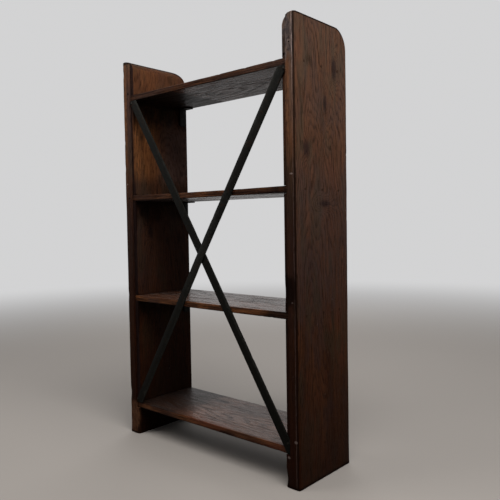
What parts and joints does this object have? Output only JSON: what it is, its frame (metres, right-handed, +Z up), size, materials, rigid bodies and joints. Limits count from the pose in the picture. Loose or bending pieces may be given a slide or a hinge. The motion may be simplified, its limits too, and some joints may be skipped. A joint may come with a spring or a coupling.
{
  "type": "open bookcase",
  "caption": "Open-backed oak bookcase: two thick end boards with rounded front corners, housed shelves, flat iron cross-brace straps behind.",
  "frame": {"origin": "on the floor, at the middle of the bookcase's width and depth", "axes": "+Z up; the front faces -Y and the cross-braced back faces +Y; +X is on the right of someone who stands in front"},
  "size_m": [0.694, 0.236, 1.2],
  "materials": {
    "oak_board": "dark stained, worn wax",
    "oak_shelf": "dark stained, worn wax",
    "strap_iron": "old matt black",
    "bracket_iron": "old matt black",
    "screw_steel": "tarnished",
    "nail_steel": "dull",
    "dark_wax": "hard stopping wax"
  },
  "bodies": {
    "root": {"left_end_board": "oak_board", "right_end_board": "oak_board", "top_shelf": "oak_shelf", "upper_shelf": "oak_shelf", "lower_shelf": "oak_shelf", "bottom_shelf": "oak_shelf", "inner_brace_strap": "strap_iron", "outer_brace_strap": "strap_iron", "inner_strap_screws": "screw_steel", "outer_strap_screws": "screw_steel", "top_left_bracket": "bracket_iron", "top_right_bracket": "bracket_iron", "upper_left_bracket": "bracket_iron", "upper_right_bracket": "bracket_iron", "lower_left_bracket": "bracket_iron", "lower_right_bracket": "bracket_iron", "top_bracket_screws": "screw_steel", "upper_bracket_screws": "screw_steel", "lower_bracket_screws": "screw_steel", "left_shelf_nails": "nail_steel", "right_shelf_nails": "nail_steel", "left_nail_stoppings": "dark_wax", "right_nail_stoppings": "dark_wax"}
  },
  "joints": []
}
